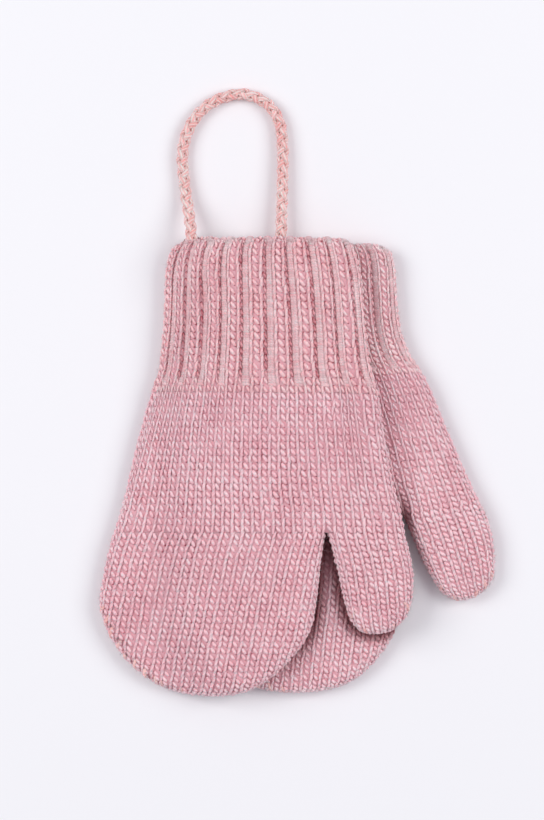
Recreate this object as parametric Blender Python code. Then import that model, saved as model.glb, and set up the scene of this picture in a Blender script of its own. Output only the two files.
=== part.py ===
"""A pair of small children's knitted mittens, laid flat with one on the other and joined by a braided cord.

Each mitten is knitted in the round: a ribbed cuff, the palm tube, the finger pouch and the thumb.
Every piece is a hollow wall of knitted cloth, lofted through rings that run round the flattened tube.
Sizes are in millimetres up to the last step, which writes metres. +X is the thumb side, +Y the cuff end
and +Z points up from the table. The origin is on the table under the middle of the pair, cord left out.
"""

import math

import bmesh
import bpy

MM = 0.001

# Cloth, one layer
WALL = 2.3            # stocking stitch
CUFF_TOP_WALL = 2.9   # ribbing, at a rib's crest
CUFF_BACK_WALL = 2.2  # ribbing on the side that lies down, pressed flat
EDGE_ROUND = 3.3      # how far in from a folded side the full thickness is reached
SEAM_GAP = 0.3        # between pieces that meet
LAYER_GAP = 0.35      # between the two mittens

# Thickness of a flattened mitten, both layers and what is left between them
THICKNESS = (
    # y, thickness
    (76.0, 7.2),
    (30.0, 7.2),
    (20.0, 6.8),
    (-40.0, 6.7),
    (-76.0, 6.4),
)

# Ribs: two raised wales and one sunk one. Shares are of one rib's pitch.
RIBS_ACROSS = 9
RIB_DEPTH = 0.9
RIB_CREST_SHARE = 0.52
RIB_FOOT_SHARE = 0.84

# A cuff's rim is rounded: distance in from its end, and how far each face is drawn back there
RIM_STEPS = (
    # distance, drawn back
    (0.0, 0.95),
    (0.45, 0.35),
    (1.3, 0.0),
)

# Stations of a ring: angles round each folded side, and points across each flat
EDGE_ANGLES = (26.0, 52.0, 78.0)
LEAST_RISE = 0.25  # distance from the outline for each mm along a row, where the row meets it at a slant
FLAT_STATIONS = {"cuff": 22, "palm": 12, "fingers": 11, "thumb": 5}

# Outlines of the upper mitten, one row for each ring
UPPER_CUFF = (
    # left x, left y, right x, right y
    (-39.6, 75.5, 17.0, 75.3),
    (-42.6, 72.0, 18.9, 71.6),
    (-43.6, 64.6, 20.8, 64.4),
    (-43.9, 58.4, 21.6, 58.4),
    (-44.4, 46.0, 22.7, 46.0),
    (-45.8, 33.5, 24.2, 33.2),
    (-48.2, 24.8, 26.8, 24.0),
)
UPPER_PALM = (
    (-48.2, 24.8, 26.8, 24.0),
    (-50.2, 18.0, 27.7, 17.6),
    (-52.2, 10.6, 28.8, 10.2),
    (-54.0, 3.0, 30.1, 2.6),
    (-56.2, -6.0, 31.9, -6.2),
    (-58.3, -14.0, 34.1, -14.2),
    (-60.6, -21.4, 35.4, -21.4),
)
UPPER_FINGERS = (
    (-60.6, -21.4, 9.4, -21.4),
    (-62.6, -28.4, 8.2, -28.6),
    (-64.2, -36.5, 7.3, -36.6),
    (-65.2, -44.4, 6.4, -44.6),
    (-63.6, -51.6, 4.9, -52.0),
    (-60.6, -57.6, 1.9, -58.0),
    (-56.8, -63.0, -2.5, -63.4),
    (-51.6, -67.9, -7.5, -68.2),
    (-44.6, -72.2, -14.0, -72.4),
    (-37.4, -74.5, -20.8, -74.6),
)
UPPER_FINGER_TIP = (-29.0, -75.5)
UPPER_THUMB = (
    (9.7, -21.4, 35.4, -21.4),
    (11.0, -26.6, 36.4, -25.4),
    (12.7, -33.4, 37.8, -31.6),
    (14.5, -42.0, 38.2, -40.0),
    (16.7, -49.0, 36.9, -46.6),
    (19.2, -52.8, 34.4, -50.6),
    (22.4, -54.6, 31.2, -53.4),
)
UPPER_THUMB_TIP = (26.8, -55.0)

# Outlines of the lower mitten, which is fanned out to the thumb side
LOWER_CUFF = (
    (-23.6, 72.9, 28.0, 73.2),
    (-26.4, 69.6, 31.4, 69.6),
    (-27.2, 65.0, 32.6, 65.2),
    (-27.4, 59.5, 33.0, 59.8),
    (-27.8, 45.6, 34.2, 46.4),
    (-28.0, 34.0, 37.2, 37.6),
    (-28.8, 26.0, 41.2, 31.4),
)
LOWER_PALM = (
    (-28.8, 26.0, 41.2, 31.4),
    (-29.8, 19.0, 44.6, 24.4),
    (-30.4, 10.5, 48.0, 16.2),
    (-31.0, 2.0, 51.4, 8.2),
    (-31.6, -7.4, 55.2, -0.8),
    (-32.0, -16.6, 58.2, -7.2),
    (-32.4, -25.6, 60.4, -11.8),
)
LOWER_FINGERS = (
    (-32.4, -25.6, 34.3, -15.6),
    (-32.8, -33.4, 34.9, -24.6),
    (-33.0, -41.0, 34.9, -34.0),
    (-32.8, -48.6, 34.4, -43.4),
    (-31.4, -55.6, 33.0, -51.6),
    (-28.4, -61.6, 30.4, -57.6),
    (-24.0, -66.8, 26.6, -62.8),
    (-17.6, -71.0, 21.6, -68.0),
    (-10.4, -73.4, 15.2, -71.8),
    (-4.0, -74.2, 9.6, -73.5),
)
LOWER_FINGER_TIP = (2.8, -74.5)
LOWER_THUMB = (
    (34.6, -15.6, 60.4, -11.8),
    (36.8, -21.4, 62.6, -16.4),
    (40.2, -29.6, 64.4, -22.8),
    (43.6, -36.0, 65.2, -30.6),
    (46.4, -40.4, 64.6, -36.0),
    (49.4, -42.9, 62.0, -40.2),
    (52.2, -44.0, 58.6, -42.9),
)
LOWER_THUMB_TIP = (55.2, -44.3)

# The cord is a round braid, sewn inside both cuffs. It leaves the upper cuff's mouth near its left side,
# lies in a tall loop on the table and goes into the lower cuff's mouth.
CORD_DIAMETER = 3.9
CORD_ROUTE = (
    # x, y, z
    (-34.3, 66.4, 9.1),
    (-34.4, 71.0, 8.7),
    (-34.7, 75.6, 7.75),
    (-35.2, 80.0, 6.2),
    (-35.8, 84.6, 4.4),
    (-36.6, 89.6, 2.9),
    (-37.3, 95.4, 2.1),
    (-37.8, 102.4, 2.05),
    (-36.8, 108.4, 2.05),
    (-34.4, 113.6, 2.05),
    (-31.2, 117.5, 2.05),
    (-26.4, 120.7, 2.05),
    (-20.5, 122.5, 2.05),
    (-15.9, 122.3, 2.05),
    (-11.0, 120.2, 2.1),
    (-7.6, 116.8, 2.15),
    (-5.6, 112.0, 2.25),
    (-4.9, 106.2, 2.45),
    (-4.8, 98.4, 2.8),
    (-5.0, 90.6, 3.3),
    (-5.2, 82.6, 3.95),
    (-5.3, 76.0, 4.4),
    (-5.4, 71.0, 4.5),
    (-5.4, 65.6, 4.5),
)
CORD_STEPS = 3         # points of the tube for each stretch of the route
CORD_RESOLUTION = 2

# Channel in a cuff, where its top layer arches over the cord's end
CHANNEL_HALF_WIDTH = 5.2
CHANNEL_START = 59.5   # y where the arch begins to rise
CHANNEL_FULL = 65.0    # y from which it is full
LOWER_CHANNEL = (-5.4, 2.7)    # x, rise
UPPER_CHANNEL = (-34.5, 3.8)

# Where the upper mitten comes down beside the lower one, measured from the lower outline
DRAPE_OUT = 17.0  # outside it, where the upper mitten reaches the table
DRAPE_IN = 0.6    # inside it, from where the upper mitten lies level

# A crease runs up the palm from each crotch
CREASE_DEPTH = 1.0
CREASE_LENGTH = 5.0
CREASE_WIDTH = 2.6


def smooth_step(share):
    share = min(max(share, 0.0), 1.0)
    return share * share * (3.0 - 2.0 * share)


def thickness_at(y):
    """Thickness of a flattened mitten at this distance along the pair."""
    for (y_high, thick_high), (y_low, thick_low) in zip(THICKNESS, THICKNESS[1:]):
        if y >= y_low:
            share = min((y_high - y) / (y_high - y_low), 1.0)
            return thick_high + max(share, 0.0) * (thick_low - thick_high)
    return THICKNESS[-1][1]


def channel_rise(x, y, channel):
    channel_x, rise = channel
    across = (x - channel_x) / CHANNEL_HALF_WIDTH
    along = smooth_step((y - CHANNEL_START) / (CHANNEL_FULL - CHANNEL_START))
    return rise * along * math.exp(-across * across)


def left_edge(rows):
    return [row[0:2] for row in rows]


def right_edge(rows):
    return [row[2:4] for row in rows]


def closed_outline(cuff, palm, fingers, finger_tip, thumb, thumb_tip):
    """A mitten's outline, once round from the cuff's left corner."""
    down = left_edge(cuff) + left_edge(palm)[1:] + left_edge(fingers)[1:]
    slot = right_edge(fingers)[::-1] + left_edge(thumb)
    up = right_edge(thumb)[::-1] + right_edge(palm)[-2::-1] + right_edge(cuff)[-2::-1]
    return down + [finger_tip] + slot + [thumb_tip] + up


def distance_to_segment(point, start, end):
    along_x, along_y = end[0] - start[0], end[1] - start[1]
    to_x, to_y = point[0] - start[0], point[1] - start[1]
    share = (to_x * along_x + to_y * along_y) / (along_x * along_x + along_y * along_y)
    share = min(max(share, 0.0), 1.0)
    return math.hypot(to_x - share * along_x, to_y - share * along_y)


def distance_to_path(point, path):
    return min(distance_to_segment(point, start, end) for start, end in zip(path, path[1:]))


def is_inside(point, outline):
    x, y = point
    inside = False
    for (ax, ay), (bx, by) in zip(outline, outline[1:]):
        if (ay > y) != (by > y) and x < ax + (y - ay) * (bx - ax) / (by - ay):
            inside = not inside
    return inside


LOWER_OUTLINE = closed_outline(
    LOWER_CUFF, LOWER_PALM, LOWER_FINGERS, LOWER_FINGER_TIP, LOWER_THUMB, LOWER_THUMB_TIP
)
LOWER_OUTLINE.append(LOWER_OUTLINE[0])


def on_table(x, y):
    return 0.0


def on_lower_mitten(x, y):
    """Height of the upper mitten's underside: level on the lower mitten, then down to the table."""
    distance = distance_to_path((x, y), LOWER_OUTLINE)
    if not is_inside((x, y), LOWER_OUTLINE):
        distance = -distance
    share = smooth_step((distance + DRAPE_OUT) / (DRAPE_OUT + DRAPE_IN))
    return share * (thickness_at(y) + channel_rise(x, y, LOWER_CHANNEL) + LAYER_GAP)


def shift_along_row(row, amount):
    """The row with both its ends moved towards each other."""
    width = math.hypot(row[2] - row[0], row[3] - row[1])
    step_x, step_y = amount * (row[2] - row[0]) / width, amount * (row[3] - row[1]) / width
    return (row[0] + step_x, row[1] + step_y, row[2] - step_x, row[3] - step_y)


def shift_edge(edge, amount, side):
    """The edge's points moved square to it: side 1 is to the left of its direction, -1 to the right."""
    moved = []
    for index, (x, y) in enumerate(edge):
        before, after = edge[max(index - 1, 0)], edge[min(index + 1, len(edge) - 1)]
        along_x, along_y = after[0] - before[0], after[1] - before[1]
        reach = side * amount / math.hypot(along_x, along_y)
        moved.append((x - along_y * reach, y + along_x * reach))
    return moved


def inset_pouch(rows, tip, amount):
    """Rows and tip of a pouch's inner skin. The row at the open end stays in line with the seam."""
    left = shift_edge(left_edge(rows) + [tip], amount, 1)
    right = shift_edge(right_edge(rows) + [tip], amount, -1)
    inner = [shift_along_row(rows[0], amount)]
    inner += [left[index] + right[index] for index in range(1, len(rows))]
    inner_tip = ((left[-1][0] + right[-1][0]) / 2, (left[-1][1] + right[-1][1]) / 2)
    return inner, inner_tip


def between_rows(row, following, distance):
    """A row part of the way to the next one."""
    share = distance / math.hypot(following[0] - row[0], following[1] - row[1])
    return tuple(a + share * (b - a) for a, b in zip(row, following))


def trim_ends(rows, first, last):
    """The first and last rows moved in, to leave half a seam gap each."""
    rows = list(rows)
    trimmed = list(rows)
    if first:
        trimmed[0] = between_rows(rows[0], rows[1], SEAM_GAP / 2)
    if last:
        trimmed[-1] = between_rows(rows[-1], rows[-2], SEAM_GAP / 2)
    return trimmed


def even_shares(count):
    return [index / (count - 1) for index in range(count)]


def rib_shares():
    """Across the top of a cuff, the foot and crest corners of each rib, and how far each is sunk."""
    corners = (
        (-RIB_FOOT_SHARE / 2, RIB_DEPTH),
        (-RIB_CREST_SHARE / 2, 0.0),
        (RIB_CREST_SHARE / 2, 0.0),
        (RIB_FOOT_SHARE / 2, RIB_DEPTH),
    )
    shares, drops = [], []
    for rib in range(RIBS_ACROSS):
        for offset, drop in corners:
            shares.append((rib + 0.5 + offset) / RIBS_ACROSS)
            drops.append(drop)
    return shares, drops


def ring_stations(width, edge_round, top_shares, top_drops, back_shares):
    """Once round a ring: share across from the left side, face (1 top, -1 back, 0 a side's middle), drop."""
    edge_round = min(edge_round, width / 3)
    first = edge_round / width
    side = [first * (1.0 - math.cos(math.radians(angle))) for angle in EDGE_ANGLES]
    flat = 1.0 - 2.0 * first
    stations = [(0.0, 0, 0.0)]
    stations += [(share, 1, 0.0) for share in side]
    stations += [(first + flat * share, 1, drop) for share, drop in zip(top_shares, top_drops)]
    stations += [(1.0 - share, 1, 0.0) for share in reversed(side)]
    stations += [(1.0, 0, 0.0)]
    stations += [(1.0 - share, -1, 0.0) for share in side]
    stations += [(first + flat * share, -1, 0.0) for share in reversed(back_shares)]
    stations += [(share, -1, 0.0) for share in reversed(side)]
    return stations


def edge_rounding(distance, edge_round):
    """Share of the full thickness at a distance in from the outline."""
    share = min(max(distance / edge_round, 0.0), 1.0)
    return math.sqrt(share * (2.0 - share))


def surface_point(mitten, x, y, face, rounding, walls, drop):
    """A point on a skin. Walls are its depths below the outer faces, top and back."""
    low, high = walls[1], thickness_at(y) - walls[0]
    z = (low + high) / 2 + face * rounding * (high - low) / 2
    if face > 0:
        crotch_x, crotch_y = mitten["fingers"][0][2:4]
        across, along = (x - crotch_x) / CREASE_WIDTH, (y - crotch_y) / CREASE_LENGTH
        z += channel_rise(x, y, mitten["channel"]) - drop * rounding
        z -= CREASE_DEPTH * rounding * math.exp(-across * across - along * along)
    return (x * MM, y * MM, (z + mitten["lift"](x, y)) * MM)


def ring_points(mitten, row, stations, paths, inset, edge_round, walls):
    points = []
    width = math.hypot(row[2] - row[0], row[3] - row[1])
    for share, face, drop in stations:
        x = row[0] + share * (row[2] - row[0])
        y = row[1] + share * (row[3] - row[1])
        distance = min(distance_to_path((x, y), path) for path in paths) - inset
        distance = max(distance, LEAST_RISE * width * min(share, 1.0 - share))
        rounding = edge_rounding(distance, edge_round) if face else 0.0
        points.append(surface_point(mitten, x, y, face, rounding, walls, drop))
    return points


def add_skin(mesh, rings, tip_point):
    """Quads between the rings, and a fan to the tip where there is one."""
    grid = [[mesh.verts.new(point) for point in ring] for ring in rings]
    around = len(grid[0])
    for ring, following in zip(grid, grid[1:]):
        for index in range(around):
            right = (index + 1) % around
            mesh.faces.new((ring[index], ring[right], following[right], following[index]))
    if tip_point:
        point = mesh.verts.new(tip_point)
        for index in range(around):
            mesh.faces.new((grid[-1][index], grid[-1][(index + 1) % around], point))
    return grid


def join_skins(mesh, outer, inner):
    """The end face between two skins."""
    around = len(outer)
    for index in range(around):
        right = (index + 1) % around
        mesh.faces.new((outer[index], outer[right], inner[right], inner[index]))


def finish_piece(mesh, name, material, collection):
    bmesh.ops.recalc_face_normals(mesh, faces=mesh.faces)
    data = bpy.data.meshes.new(name)
    mesh.to_mesh(data)
    mesh.free()
    data.materials.append(material)
    data.shade_smooth()
    data.set_sharp_from_angle(angle=math.radians(40))
    collection.objects.link(bpy.data.objects.new(name, data))


def make_cuff(mitten, material, collection):
    """A ribbed tube with a rounded rim, raised ribs on top and a plain inside."""
    rows = trim_ends(mitten["cuff"], False, True)
    paths = (left_edge(rows), right_edge(rows))
    top_shares, top_drops = rib_shares()
    back_shares = even_shares(FLAT_STATIONS["cuff"])
    steps = [(between_rows(rows[0], rows[1], distance), drawn) for distance, drawn in RIM_STEPS]
    steps += [(row, 0.0) for row in rows[1:]]
    outer_rings, inner_rings = [], []
    for row, drawn in steps:
        width = math.hypot(row[2] - row[0], row[3] - row[1])
        stations = ring_stations(width, EDGE_ROUND, top_shares, top_drops, back_shares)
        plain = [(share, face, 0.0) for share, face, drop in stations]
        outer_row = shift_along_row(row, drawn)
        inner_row = shift_along_row(row, WALL - drawn)
        outer_walls = (drawn, drawn)
        inner_walls = (CUFF_TOP_WALL - drawn, CUFF_BACK_WALL - drawn)
        outer_rings.append(ring_points(mitten, outer_row, stations, paths, drawn, EDGE_ROUND, outer_walls))
        inner_rings.append(ring_points(mitten, inner_row, plain, paths, WALL - drawn, EDGE_ROUND, inner_walls))
    mesh = bmesh.new()
    outer = add_skin(mesh, outer_rings, None)
    inner = add_skin(mesh, inner_rings, None)
    join_skins(mesh, outer[0], inner[0])
    join_skins(mesh, outer[-1], inner[-1])
    finish_piece(mesh, f"{mitten['name']}_cuff", material, collection)


def make_tube(mitten, part, material, collection):
    """The palm, the finger pouch or the thumb. A pouch is closed at its tip."""
    tip = mitten.get(f"{part}_tip")
    rows = trim_ends(mitten[part], True, tip is None)
    shares = even_shares(FLAT_STATIONS[part])
    if tip:
        paths = (left_edge(rows) + [tip] + right_edge(rows)[::-1],)
        inner_rows, inner_tip = inset_pouch(rows, tip, WALL)
    else:
        paths = (left_edge(rows), right_edge(rows))
        inner_rows, inner_tip = [shift_along_row(row, WALL) for row in rows], None
    mesh = bmesh.new()
    ends = []
    for skin_rows, skin_tip, inset in ((rows, tip, 0.0), (inner_rows, inner_tip, WALL)):
        rings = []
        for row in skin_rows:
            width = math.hypot(row[2] - row[0], row[3] - row[1])
            stations = ring_stations(width, EDGE_ROUND - inset, shares, [0.0] * len(shares), shares)
            rings.append(ring_points(mitten, row, stations, paths, inset, EDGE_ROUND - inset, (inset, inset)))
        tip_point = surface_point(mitten, *skin_tip, 0, 0.0, (inset, inset), 0.0) if skin_tip else None
        skin = add_skin(mesh, rings, tip_point)
        ends.append((skin[0], skin[-1]))
    join_skins(mesh, ends[0][0], ends[1][0])
    if tip is None:
        join_skins(mesh, ends[0][1], ends[1][1])
    finish_piece(mesh, f"{mitten['name']}_{part}", material, collection)


def curve_point(before, start, end, after, share):
    """A point of the smooth curve through start and end."""
    point = []
    for a, b, c, d in zip(before, start, end, after):
        cubic = -a + 3.0 * b - 3.0 * c + d
        square = 2.0 * a - 5.0 * b + 4.0 * c - d
        point.append(b + 0.5 * share * (c - a + share * (square + share * cubic)))
    return tuple(point)


def cord_points():
    """The cord's centre line, read from a smooth curve through its route."""
    points = []
    last = len(CORD_ROUTE) - 1
    for index in range(last):
        before, after = CORD_ROUTE[max(index - 1, 0)], CORD_ROUTE[min(index + 2, last)]
        for step in range(CORD_STEPS):
            share = step / CORD_STEPS
            points.append(curve_point(before, CORD_ROUTE[index], CORD_ROUTE[index + 1], after, share))
    return points + [CORD_ROUTE[last]]


def make_cord(material, collection):
    """A round cord along its route, with filled ends."""
    points = cord_points()
    data = bpy.data.curves.new("cord", "CURVE")
    data.dimensions = "3D"
    data.bevel_depth = CORD_DIAMETER / 2 * MM
    data.bevel_resolution = CORD_RESOLUTION
    data.use_fill_caps = True
    spline = data.splines.new("POLY")
    spline.points.add(len(points) - 1)
    for target, (x, y, z) in zip(spline.points, points):
        target.co = (x * MM, y * MM, z * MM, 1.0)
    data.materials.append(material)
    collection.objects.link(bpy.data.objects.new("cord", data))


def make_material(name, colour, roughness):
    material = bpy.data.materials.new(name)
    material.use_nodes = True
    shader = material.node_tree.nodes["Principled BSDF"]
    shader.inputs["Base Color"].default_value = colour
    shader.inputs["Roughness"].default_value = roughness
    shader.inputs["Metallic"].default_value = 0.0
    return material


def main():
    for obj in list(bpy.data.objects):
        bpy.data.objects.remove(obj, do_unlink=True)
    collection = bpy.data.collections.new("mitten_pair")
    bpy.context.scene.collection.children.link(collection)
    lower = {
        "name": "lower", "cuff": LOWER_CUFF, "palm": LOWER_PALM, "fingers": LOWER_FINGERS,
        "fingers_tip": LOWER_FINGER_TIP, "thumb": LOWER_THUMB, "thumb_tip": LOWER_THUMB_TIP,
        "lift": on_table, "channel": LOWER_CHANNEL,
    }
    upper = {
        "name": "upper", "cuff": UPPER_CUFF, "palm": UPPER_PALM, "fingers": UPPER_FINGERS,
        "fingers_tip": UPPER_FINGER_TIP, "thumb": UPPER_THUMB, "thumb_tip": UPPER_THUMB_TIP,
        "lift": on_lower_mitten, "channel": UPPER_CHANNEL,
    }
    colours = {"lower": (0.70, 0.41, 0.44, 1.0), "upper": (0.72, 0.42, 0.45, 1.0)}
    for mitten in (lower, upper):
        name = mitten["name"]
        make_cuff(mitten, make_material(f"{name}_rib_wool", colours[name], 0.95), collection)
        for part in ("palm", "fingers", "thumb"):
            make_tube(mitten, part, make_material(f"{name}_{part}_wool", colours[name], 0.9), collection)
    make_cord(make_material("cord_yarn", (0.77, 0.37, 0.34, 1.0), 0.85), collection)


main()
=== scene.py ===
"""The looks of a pair of small children's knitted mittens, laid flat with one on the other.

Tables are in millimetres and meshes in metres, unless a comment says otherwise. +X is the thumb side, +Y the
cuff end and +Z up from the table.
"""

import math

import bpy
import numpy as np
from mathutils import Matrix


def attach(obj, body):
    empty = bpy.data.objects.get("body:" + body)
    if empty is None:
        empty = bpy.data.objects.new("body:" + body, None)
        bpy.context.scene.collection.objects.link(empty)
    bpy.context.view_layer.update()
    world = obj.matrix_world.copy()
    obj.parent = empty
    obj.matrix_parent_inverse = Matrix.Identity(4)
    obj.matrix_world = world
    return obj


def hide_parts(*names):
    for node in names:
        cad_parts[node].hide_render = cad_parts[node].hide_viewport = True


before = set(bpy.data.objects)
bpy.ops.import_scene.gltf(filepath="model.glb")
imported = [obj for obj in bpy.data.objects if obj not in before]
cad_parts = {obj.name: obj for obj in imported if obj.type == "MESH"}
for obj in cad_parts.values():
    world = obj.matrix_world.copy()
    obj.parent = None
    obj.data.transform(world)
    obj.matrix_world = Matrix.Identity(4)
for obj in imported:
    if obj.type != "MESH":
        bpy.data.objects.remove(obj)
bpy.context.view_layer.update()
bpy.ops.object.select_all(action="DESELECT")


# The camera looks straight down on the table, from far enough that the knitting has next to no perspective.
# The photo's long side takes in 268.6 mm of the table, so one of its pixels is 0.3275 mm.
MM = 0.001
PHOTO_HEIGHT = 820
PIXEL = 0.3275
VIEW_CENTRE = (-8.35, 18.8, 8.0)
LENS = 200.0
SENSOR = 36.0

view_distance = PHOTO_HEIGHT * PIXEL * LENS / SENSOR
bpy.ops.object.camera_add(
    location=(VIEW_CENTRE[0] * MM, VIEW_CENTRE[1] * MM, (VIEW_CENTRE[2] + view_distance) * MM),
    rotation=(0.0, 0.0, 0.0),
)
camera = bpy.context.object
camera.data.lens = LENS
camera.data.sensor_width = SENSOR
camera.data.clip_start = 0.05
bpy.context.scene.camera = camera
bpy.ops.object.select_all(action="DESELECT")


# The cord is a round braid of six soft flat yarns over a filler core, 3.9 mm across. It is sewn inside both
# cuffs, comes out of the upper one's mouth, lies in a tall loop and goes into the lower one's mouth.
CORD_ROUTE = (
    # x, y, z
    (-34.3, 66.4, 9.1),
    (-34.4, 71.0, 8.7),
    (-34.7, 75.6, 7.75),
    (-35.2, 80.0, 6.2),
    (-35.8, 84.6, 4.4),
    (-36.6, 89.6, 2.9),
    (-37.3, 95.4, 2.1),
    (-37.8, 102.4, 2.05),
    (-36.8, 108.4, 2.05),
    (-34.4, 113.6, 2.05),
    (-31.2, 117.5, 2.05),
    (-26.4, 120.7, 2.05),
    (-20.5, 122.5, 2.05),
    (-15.9, 122.3, 2.05),
    (-11.0, 120.2, 2.1),
    (-7.6, 116.8, 2.15),
    (-5.6, 112.0, 2.25),
    (-4.9, 106.2, 2.45),
    (-4.8, 98.4, 2.8),
    (-5.0, 90.6, 3.3),
    (-5.2, 82.6, 3.95),
    (-5.3, 76.0, 4.4),
    (-5.4, 71.0, 4.5),
    (-5.4, 65.6, 4.5),
)
CORD_STEPS = 16          # points of the smooth route for each stretch
CORE_RADIUS = 1.4
STRANDS = 3              # that wind each way
STRAND_RADIUS = 0.54     # half its thickness
STRAND_WIDEN = 1.75      # its width, as a share of its thickness
STRAND_WINDING = 1.26    # from the cord's centre to a strand's
STRAND_WAVE = 0.24       # a strand passes over one other and under the next by this much
LAY_LENGTH = 12.6        # along the cord for one turn of a strand
STRAND_STEP = 0.4        # between a strand's points, along the cord
STRAND_TONE = 0.3        # each strand gets its own tone up to this
STRAND_SIDES = 8
CORE_SIDES = 12
YARN_SIDES = 5
# The yarn's shader: matt and a little translucent, with a sheen from its nap
YARN_SURFACE = {
    "Roughness": 0.92,
    "Specular IOR Level": 0.15,
    "Sheen Weight": 0.2,
    "Sheen Roughness": 0.45,
    "Subsurface Weight": 0.5,
    "Subsurface Radius": (1.0, 0.45, 0.5),
    "Subsurface Scale": 0.9 * MM,
}
YARN_SHEEN = "ffccd4"
CLOUD_SCALE = 75.0       # the yarn's shade drifts slowly, about so many times a metre
CLOUD_SHARE = 0.5
FIBRE_SCALE = 2300.0     # and it changes from fibre to fibre
FIBRE_SHARE = 0.3
FIBRE_RELIEF = 1.2       # the fibres' height, against 1 for the plies'
DARK_PLACE = 0.27        # places on the ramp that runs from the dark colour of painted groove shade at 0
SHADE_PLACE = 0.6
LIGHT_PLACE = 0.95


def smooth_curve(points, steps):
    """A smooth curve through rows of numbers, with so many points for each stretch."""
    points = np.asarray(points, float)
    padded = np.vstack([points[:1], points, points[-1:]])
    share = (np.arange(steps) / steps)[:, None]
    stretches = []
    for a, b, c, d in zip(padded, padded[1:], padded[2:], padded[3:]):
        cubic = -a + 3.0 * b - 3.0 * c + d
        square = 2.0 * a - 5.0 * b + 4.0 * c - d
        stretches.append(b + 0.5 * share * (c - a + share * (square + share * cubic)))
    return np.vstack(stretches + [points[-1:]])


def length_along(points):
    """How far each point of a line is from its start."""
    steps = np.linalg.norm(np.diff(points, axis=0), axis=1)
    return np.concatenate([[0.0], np.cumsum(steps)])


def even_points(points, count):
    """The line with evenly spaced points."""
    reach = length_along(points)
    places = np.linspace(0.0, reach[-1], count)
    return np.stack([np.interp(places, reach, axis) for axis in points.T], axis=1)


def unit(vectors):
    return vectors / np.maximum(np.linalg.norm(vectors, axis=-1, keepdims=True), 1e-9)


def yarn_mesh(name, lines, ups, radii, tones, sides=YARN_SIDES, widen=1.0):
    """Closed lengths of yarn along centre lines, as one mesh. Lines and ups are (lengths, points, 3).
    A flat yarn is wider across the way up than it is thick.

    The UV map runs round the yarn and along it. The tone attribute gives each length its own shade, which may
    also change along it; it also carries painted shade and painted light.
    """
    count, points = lines.shape[:2]
    along = unit(np.gradient(lines, axis=1))
    across = unit(np.cross(along, ups))
    over = np.cross(across, along)
    turn = np.arange(sides) * 2.0 * math.pi / sides
    ring = widen * across[:, :, None] * np.cos(turn)[:, None] + over[:, :, None] * np.sin(turn)[:, None]
    verts = (lines[:, :, None] + ring * radii[:, :, None, None]) * MM
    index = np.arange(count * points * sides).reshape(count, points, sides)
    following = np.roll(index, -1, axis=2)
    walls = np.stack([index[:, :-1], index[:, 1:], following[:, 1:], following[:, :-1]], axis=-1)
    caps = np.concatenate([index[:, 0], index[:, -1, ::-1]])
    mesh = bpy.data.meshes.new(name)
    mesh.from_pydata(verts.reshape(-1, 3).tolist(), [], walls.reshape(-1, 4).tolist() + caps.tolist())
    mesh.shade_smooth()
    tone = mesh.attributes.new("tone", "FLOAT", "POINT")
    tones = np.broadcast_to(np.reshape(tones, (count, -1)), (count, points))
    tone.data.foreach_set("value", np.repeat(tones, sides).astype(np.float32))
    reach = np.linalg.norm(np.diff(lines, axis=1), axis=2).cumsum(axis=1)
    reach = np.concatenate([np.zeros((count, 1)), reach], axis=1)
    low, high = reach[:, :-1, None], reach[:, 1:, None]
    first = (np.arange(sides) / sides)[None, None]
    shape = (count, points - 1, sides)
    corners = [(first, low), (first, high), (first + 1.0 / sides, high), (first + 1.0 / sides, low)]
    corners = [np.stack([np.broadcast_to(u, shape), np.broadcast_to(v, shape)], -1) for u, v in corners]
    wall_uv = np.stack(corners, -2)
    cap_uv = np.zeros((caps.size, 2))
    layer = mesh.uv_layers.new(name="yarn")
    layer.data.foreach_set("uv", np.concatenate([wall_uv.reshape(-1, 2), cap_uv]).astype(np.float32).ravel())
    obj = bpy.data.objects.new(name, mesh)
    bpy.context.scene.collection.objects.link(obj)
    return obj


def linear(hex_colour):
    """An sRGB colour such as d9a8ae as linear red, green, blue and alpha."""
    channels = [int(hex_colour[place:place + 2], 16) / 255.0 for place in (0, 2, 4)]
    return [c / 12.92 if c <= 0.04045 else ((c + 0.055) / 1.055) ** 2.4 for c in channels] + [1.0]


def add_node(tree, kind, settings=None, links=None):
    """A node with its settings and with its inputs' values or links. A link is an output socket."""
    node = tree.nodes.new(kind)
    for name, value in (settings or {}).items():
        setattr(node, name, value)
    for name, value in (links or {}).items():
        if isinstance(value, bpy.types.NodeSocket):
            tree.links.new(value, node.inputs[name])
        else:
            node.inputs[name].default_value = value
    return node


def calculate(tree, operation, *values):
    """What a Math node makes of numbers and output sockets."""
    node = add_node(tree, "ShaderNodeMath", {"operation": operation}, dict(enumerate(values)))
    return node.outputs["Value"]


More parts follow.
